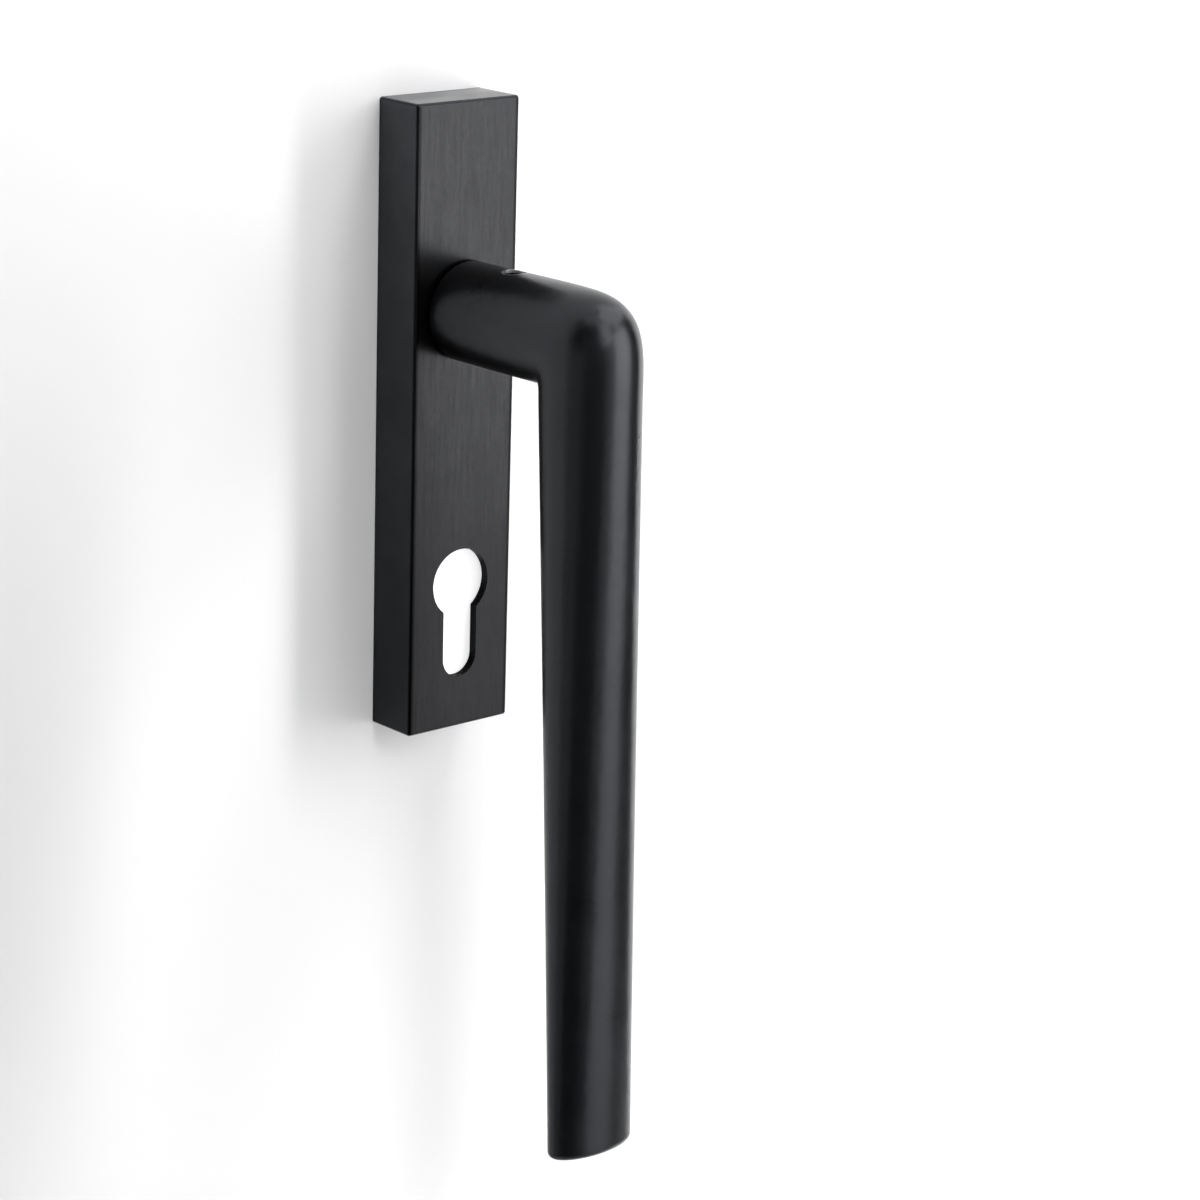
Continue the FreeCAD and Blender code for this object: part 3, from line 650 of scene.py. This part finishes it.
def thread_profile(name, root, crest, low_y, pitch, centre_z):
    """Open line of one thread's flank, crest, flank and root, drawn point by point."""
    flank, flat = 0.38 * pitch, 0.12 * pitch
    start_alone()
    bpy.ops.mesh.primitive_plane_add(size=0.001, location=(0.0, 0.0, 0.0))
    profile = bpy.context.object
    profile.name = name
    bpy.ops.object.mode_set(mode="EDIT")
    bpy.ops.mesh.select_mode(type="VERT")
    bpy.ops.mesh.select_all(action="SELECT")
    bpy.ops.mesh.merge(type="CENTER")
    bpy.ops.transform.translate(value=(root, 0.0, 0.0))
    for step_x, step_z in ((crest - root, flank), (0.0, flat), (root - crest, flank), (0.0, flat)):
        bpy.ops.mesh.extrude_vertices_move(TRANSFORM_OT_translate={"value": (step_x, 0.0, step_z)})
    bpy.ops.object.mode_set(mode="OBJECT")
    profile.location = (0.0, low_y, centre_z)
    profile.rotation_euler = (-math.pi / 2.0, 0.0, 0.0)
    return profile


def screw_thread(name, low_y, high_y, radius, centre_z):
    """Rolled thread: the profile wound round the screw's axis, cut square and chamfered at its end."""
    steps, spare_turns, merging = 28, 2, 0.00001
    envelope_sides, envelope_play, envelope_start, chamfer = 56, 0.0001, 0.001, 0.0008
    sizes = bpy.context.scene.handle_sizes
    pitch = sizes.thread_pitch
    root = radius - sizes.thread_depth
    thread = thread_profile(name, root, radius, low_y - spare_turns * pitch, pitch, centre_z)
    make_active(thread)
    winding = thread.modifiers.new("Winding", "SCREW")
    winding.axis = "Z"
    winding.angle = 2.0 * math.pi
    winding.screw_offset = pitch
    winding.iterations = int(round((high_y - low_y) / pitch)) + 2 * spare_turns
    winding.steps = steps
    winding.render_steps = steps
    winding.use_merge_vertices = True
    winding.merge_threshold = merging
    bpy.ops.object.modifier_apply(modifier=winding.name)
    bpy.ops.object.transform_apply(location=True, rotation=True, scale=True)
    bpy.ops.object.mode_set(mode="EDIT")
    bpy.ops.mesh.select_all(action="SELECT")
    bpy.ops.mesh.remove_doubles(threshold=merging)
    for cut_y, at_start in ((low_y, True), (high_y, False)):
        bpy.ops.mesh.select_all(action="SELECT")
        bpy.ops.mesh.bisect(
            plane_co=(0.0, cut_y, 0.0), plane_no=(0.0, 1.0, 0.0), use_fill=True,
            clear_inner=at_start, clear_outer=not at_start, threshold=1e-7)
    bpy.ops.mesh.select_all(action="SELECT")
    bpy.ops.mesh.normals_make_consistent(inside=False)
    bpy.ops.object.mode_set(mode="OBJECT")
    envelope = add_bar(
        name + "_envelope", envelope_sides, radius + envelope_play,
        low_y - envelope_start, high_y, centre_z)
    bpy.ops.object.mode_set(mode="EDIT")
    bevel_end(envelope, high_y, chamfer, segments=1)
    bpy.ops.object.mode_set(mode="OBJECT")
    combine(thread, envelope, "INTERSECT")
    return thread


def fixing_screw(side):
    """One fixing screw at the place of its CAD node."""
    thread_radius, thread_start = 0.003, 0.0
    shank_sides, head_overlap, thread_overlap = 40, 0.0003, 0.0002
    merging, smooth_below = 2e-7, math.radians(35.0)
    sizes = bpy.context.scene.handle_sizes
    node_name = side + "_fixing_screw"
    low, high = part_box(node_name)
    centre_z = (low.z + high.z) / 2.0
    seat_y = low.y + sizes.head_height
    screw = screw_head(side + "_threaded_screw", low.y, seat_y, (high.x - low.x) / 2.0, centre_z)
    shank = add_bar(
        side + "_shank", shank_sides, sizes.shank_diameter / 2.0,
        seat_y - head_overlap, thread_start + thread_overlap, centre_z)
    combine(screw, shank, "UNION")
    thread = screw_thread(side + "_thread", thread_start, high.y, thread_radius, centre_z)
    combine(screw, thread, "UNION")
    make_active(screw)
    bpy.ops.object.mode_set(mode="EDIT")
    bpy.ops.mesh.select_all(action="SELECT")
    bpy.ops.mesh.remove_doubles(threshold=merging)
    bpy.ops.object.mode_set(mode="OBJECT")
    bpy.ops.object.shade_smooth_by_angle(angle=smooth_below)
    screw.data.materials.clear()
    screw.data.materials.append(turned_metal("screw_steel_" + side, PLATED_STEEL, 0.3, centre_z))
    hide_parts(node_name)
    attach(screw, "plate")


# Studio

def wall_material(name, color, glow):
    """Pale matt paint that can't be seen from behind, a little whiter to the camera, metal and glass."""
    material = bpy.data.materials.new(name)
    material.use_nodes = True
    tree = material.node_tree
    shader = tree.nodes["Principled BSDF"]
    output = tree.nodes["Material Output"]
    feed(tree, shader.inputs["Base Color"], (*color, 1.0))
    feed(tree, shader.inputs["Roughness"], 0.9)
    feed(tree, shader.inputs["Specular IOR Level"], 0.1)
    ray = add_node(tree, "ShaderNodeLightPath", (-900, -300)).outputs
    seen = math_node(tree, "MAXIMUM", (-650, -300), ray["Is Camera Ray"], ray["Is Glossy Ray"])
    seen = math_node(tree, "MAXIMUM", (-450, -300), seen, ray["Is Transmission Ray"])
    feed(tree, shader.inputs["Emission Color"], (1.0, 1.0, 1.0, 1.0))
    feed(tree, shader.inputs["Emission Strength"], math_node(tree, "MULTIPLY", (-250, -300), seen, glow))
    clear = add_node(tree, "ShaderNodeBsdfTransparent", (0, -500))
    side = add_node(tree, "ShaderNodeNewGeometry", (0, 400))
    mix = add_node(tree, "ShaderNodeMixShader", (400, 200))
    feed(tree, mix.inputs["Fac"], side.outputs["Backfacing"])
    feed(tree, mix.inputs[1], shader.outputs["BSDF"])
    feed(tree, mix.inputs[2], clear.outputs["BSDF"])
    feed(tree, output.inputs["Surface"], mix.outputs["Shader"])
    return material


def upright_corners(half_width, y, bottom, top):
    """Corners of an upright rectangle that looks to the front."""
    return (-half_width, y, bottom), (half_width, y, bottom), (half_width, y, top), (-half_width, y, top)


def add_panel(name, corners, material):
    """Flat stage panel through four corners, whose face looks along their right-hand normal."""
    start_alone()
    bpy.ops.mesh.primitive_plane_add(size=1.0)
    panel = bpy.context.object
    panel.name = name
    vertices = panel.data.vertices
    order = sorted(range(4), key=lambda index: math.atan2(vertices[index].co.y, vertices[index].co.x))
    for index, corner in zip(order, corners):
        vertices[index].co = corner
    panel.data.materials.append(material)
    return panel


def add_surroundings(studio):
    """Wall and floor, and the white card in the cylinder hole, which is left out of reflections."""
    half_width, wall_y, wall_top = 1.6, -0.0001, 1.4
    floor_front, floor_back, floor_z = -0.8, 1.2, -studio.floor_drop
    card_half_width, card_y, card_bottom, card_top = 0.010, -0.0125, -0.097, -0.059
    paint = wall_material("pale_wall", tuple(studio.wall_color), studio.wall_glow)
    add_panel("wall", upright_corners(half_width, wall_y, floor_z, wall_top), paint)
    add_panel("floor", [(-half_width, floor_front, floor_z), (half_width, floor_front, floor_z),
                        (half_width, floor_back, floor_z), (-half_width, floor_back, floor_z)], paint)
    white = wall_material("hole_white", tuple(studio.wall_color), studio.hole_glow)
    card = add_panel("hole_card", upright_corners(card_half_width, card_y, card_bottom, card_top), white)
    card.visible_glossy = False
    card.visible_diffuse = False


def add_soft_lamp(name, place, aim, width, height, brightness):
    """Rectangular soft lamp whose face has the given brightness."""
    lamp = bpy.data.lights.new(name, "AREA")
    lamp.shape = "RECTANGLE"
    lamp.size = width
    lamp.size_y = height
    lamp.energy = brightness * math.pi * width * height
    holder = bpy.data.objects.new(name, lamp)
    bpy.context.scene.collection.objects.link(holder)
    holder.visible_camera = False
    direction = Vector(aim) - Vector(place)
    turned = direction.to_track_quat("-Z", "Y").to_matrix().to_4x4()
    holder.matrix_world = Matrix.Translation(Vector(place)) @ turned
    return holder


def add_lamps(studio):
    """Lamps that metal reflects, lamps that light what is matt, such as the wall, and one at the back."""
    aim = (0.0, -0.03, -0.05)
    for name, place, width, height, brightness in (
        ("key_lamp", (1.11, -1.67, 0.21), 1.50, 1.66, studio.key_brightness),
        ("high_lamp", (0.87, -0.64, 1.65), 2.00, 1.70, studio.high_brightness),
        ("low_lamp", (0.93, -1.66, -0.87), 1.15, 0.46, studio.low_brightness),
        ("front_lamp", (-0.19, -1.83, 1.21), 0.95, 1.60, studio.front_brightness),
        ("fill_lamp", (0.14, -2.0, 0.05), 0.85, 1.70, studio.fill_brightness),
        ("shade_lamp", (-1.18, -1.62, 0.30), 2.00, 1.80, studio.shade_brightness),
        ("over_lamp", (-0.55, -0.55, 1.78), 1.20, 1.10, studio.over_brightness),
        ("left_lamp", (-1.76, -0.40, -0.36), 1.20, 1.40, studio.left_brightness),
    ):
        add_soft_lamp(name, place, aim, width, height, brightness).visible_diffuse = False
    for name, place, width, height, brightness in (
        ("wall_broad_lamp", (0.6, -1.2, -0.02), 2.40, 2.04, studio.wall_broad_brightness),
        ("wall_side_lamp", (1.08, -0.6, 0.25), 0.36, 1.74, studio.wall_side_brightness),
        ("wall_front_lamp", (-0.12, -1.2, 0.64), 0.36, 0.72, studio.wall_front_brightness),
        ("wall_top_lamp", (0.36, -0.4, 1.52), 0.24, 1.60, studio.wall_top_brightness),
    ):
        ahead = Vector(place) + Vector((0.0, 1.0, 0.0))
        add_soft_lamp(name, place, ahead, width, height, brightness).visible_glossy = False
    add_soft_lamp("back_lamp", (0.5, 1.0, 0.7), (0.0, 0.0, -0.05), 0.9, 0.9, studio.back_brightness)


def camera_matrix(turn, rise, roll, distance, target):
    """Place of a camera that looks at the target from the front left and above."""
    back = Vector((-math.sin(turn) * math.cos(rise), -math.cos(turn) * math.cos(rise), math.sin(rise)))
    level = Vector((math.cos(turn), -math.sin(turn), 0.0))
    upward = back.cross(level)
    right = level * math.cos(roll) + upward * math.sin(roll)
    top = upward * math.cos(roll) - level * math.sin(roll)
    place = Vector(target) + back * distance
    turned = Matrix((right, top, back)).transposed().to_4x4()
    return Matrix.Translation(place) @ turned


def add_camera(studio):
    """The scene's camera, at the angle of the handle's photograph."""
    lens = bpy.data.cameras.new("photo_camera")
    lens.sensor_fit = "HORIZONTAL"
    lens.sensor_width = 36.0
    lens.lens = studio.camera_lens
    lens.clip_start = 0.01
    camera = bpy.data.objects.new("photo_camera", lens)
    bpy.context.scene.collection.objects.link(camera)
    camera.matrix_world = camera_matrix(
        studio.camera_turn, studio.camera_rise, studio.camera_roll,
        studio.camera_distance, studio.camera_target)
    bpy.context.scene.camera = camera


def set_world():
    """Dim grey surroundings that the camera sees as white."""
    world = bpy.data.worlds.new("studio")
    bpy.context.scene.world = world
    world.use_nodes = True
    tree = world.node_tree
    tree.nodes.clear()
    output = add_node(tree, "ShaderNodeOutputWorld", (400, 0))
    dim = add_node(tree, "ShaderNodeBackground", (0, 100))
    feed(tree, dim.inputs["Color"], (0.07, 0.07, 0.072, 1.0))
    white = add_node(tree, "ShaderNodeBackground", (0, -100))
    feed(tree, white.inputs["Color"], (0.98, 0.98, 0.98, 1.0))
    mix = add_node(tree, "ShaderNodeMixShader", (200, 0))
    ray = add_node(tree, "ShaderNodeLightPath", (-200, 200))
    feed(tree, mix.inputs["Fac"], ray.outputs["Is Camera Ray"])
    feed(tree, mix.inputs[1], dim.outputs["Background"])
    feed(tree, mix.inputs[2], white.outputs["Background"])
    feed(tree, output.inputs["Surface"], mix.outputs["Shader"])


# Operators

class HANDLE_OT_finish_plate(bpy.types.Operator):
    """Gives the cover plate its brushed black finish"""
    bl_idname = "handle.finish_plate"
    bl_label = "Finish Plate"

    def execute(self, context):
        dress(brushed_black(), "cover_plate")
        return {"FINISHED"}


class HANDLE_OT_finish_lever(bpy.types.Operator):
    """Gives the lever its satin black finish and both grub screws a dark steel one"""
    bl_idname = "handle.finish_lever"
    bl_label = "Finish Lever"

    def execute(self, context):
        dress(satin_black(), "lever")
        dress(turned_metal("black_steel", BLACK_STEEL, 0.3), "neck_grub_screw", "cover_grub_screw")
        return {"FINISHED"}


class HANDLE_OT_finish_carrier(bpy.types.Operator):
    """Gives the carrier, the friction washer, the guide ring and the pad their plastics and foam"""
    bl_idname = "handle.finish_carrier"
    bl_label = "Finish Carrier"

    def execute(self, context):
        dress(moulded_plastic("natural_polyamide", NATURAL_PLASTIC, 0.5), "carrier", "friction_washer")
        dress(moulded_plastic("black_polyamide", BLACK_PLASTIC, 0.55), "guide_ring")
        dress(foam_rubber(), "rear_gasket")
        return {"FINISHED"}


class HANDLE_OT_finish_bearing(bpy.types.Operator):
    """Gives the bush, discs, rings, sleeves and the square bar their metals"""
    bl_idname = "handle.finish_bearing"
    bl_label = "Finish Bearing"

    def execute(self, context):
        dress(turned_metal("bronze", BRONZE, 0.3), "bearing_bush", "threaded_insert")
        dress(turned_metal("plated_steel", PLATED_STEEL, 0.34),
              "stop_disc", "upper_support_sleeve", "lower_support_sleeve")
        dress(turned_metal("spring_steel", SPRING_STEEL, 0.32),
              "wave_washer", "retaining_ring", "upper_lock_washer", "lower_lock_washer")
        dress(drawn_steel(), "spindle")
        return {"FINISHED"}


class HANDLE_OT_fixing_screws(bpy.types.Operator):
    """Models the two threaded fixing screws"""
    bl_idname = "handle.fixing_screws"
    bl_label = "Fixing Screws"

    def execute(self, context):
        for side in ("upper", "lower"):
            fixing_screw(side)
        return {"FINISHED"}


class HANDLE_OT_studio(bpy.types.Operator):
    """Builds the pale wall and floor, the soft lamps and the camera"""
    bl_idname = "handle.studio"
    bl_label = "Studio"

    def execute(self, context):
        studio = context.scene.handle_studio
        add_surroundings(studio)
        add_lamps(studio)
        add_camera(studio)
        set_world()
        context.scene.view_settings.view_transform = "Standard"
        return {"FINISHED"}


class HANDLE_PT_panel(bpy.types.Panel):
    """Sidebar panel with the handle's sizes, finishes and steps"""
    bl_idname = "HANDLE_PT_panel"
    bl_label = "Patio Door Handle"
    bl_space_type = "VIEW_3D"
    bl_region_type = "UI"
    bl_category = "Handle"

    def draw(self, context):
        scene = context.scene
        for group in (scene.handle_sizes, scene.handle_finish, scene.handle_studio):
            box = self.layout.box()
            for name in group.__annotations__:
                box.prop(group, name)
        for step in STEPS:
            self.layout.operator(step.bl_idname)


STEPS = (
    HANDLE_OT_finish_plate,
    HANDLE_OT_finish_lever,
    HANDLE_OT_finish_carrier,
    HANDLE_OT_finish_bearing,
    HANDLE_OT_fixing_screws,
    HANDLE_OT_studio,
)
CLASSES = (HandleSizes, HandleFinish, StudioSettings) + STEPS + (HANDLE_PT_panel,)


def register():
    """Registers the classes and gives each scene its sizes, finishes and studio."""
    for item in CLASSES:
        bpy.utils.register_class(item)
    bpy.types.Scene.handle_sizes = PointerProperty(type=HandleSizes)
    bpy.types.Scene.handle_finish = PointerProperty(type=HandleFinish)
    bpy.types.Scene.handle_studio = PointerProperty(type=StudioSettings)


def unregister():
    """Takes back what register did, in the opposite order."""
    del bpy.types.Scene.handle_studio
    del bpy.types.Scene.handle_finish
    del bpy.types.Scene.handle_sizes
    for item in reversed(CLASSES):
        bpy.utils.unregister_class(item)


def main():
    """Finishes the handle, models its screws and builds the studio."""
    register()
    bpy.ops.handle.finish_plate()
    bpy.ops.handle.finish_lever()
    bpy.ops.handle.finish_carrier()
    bpy.ops.handle.finish_bearing()
    bpy.ops.handle.fixing_screws()
    bpy.ops.handle.studio()


if __name__ == "__main__":
    main()
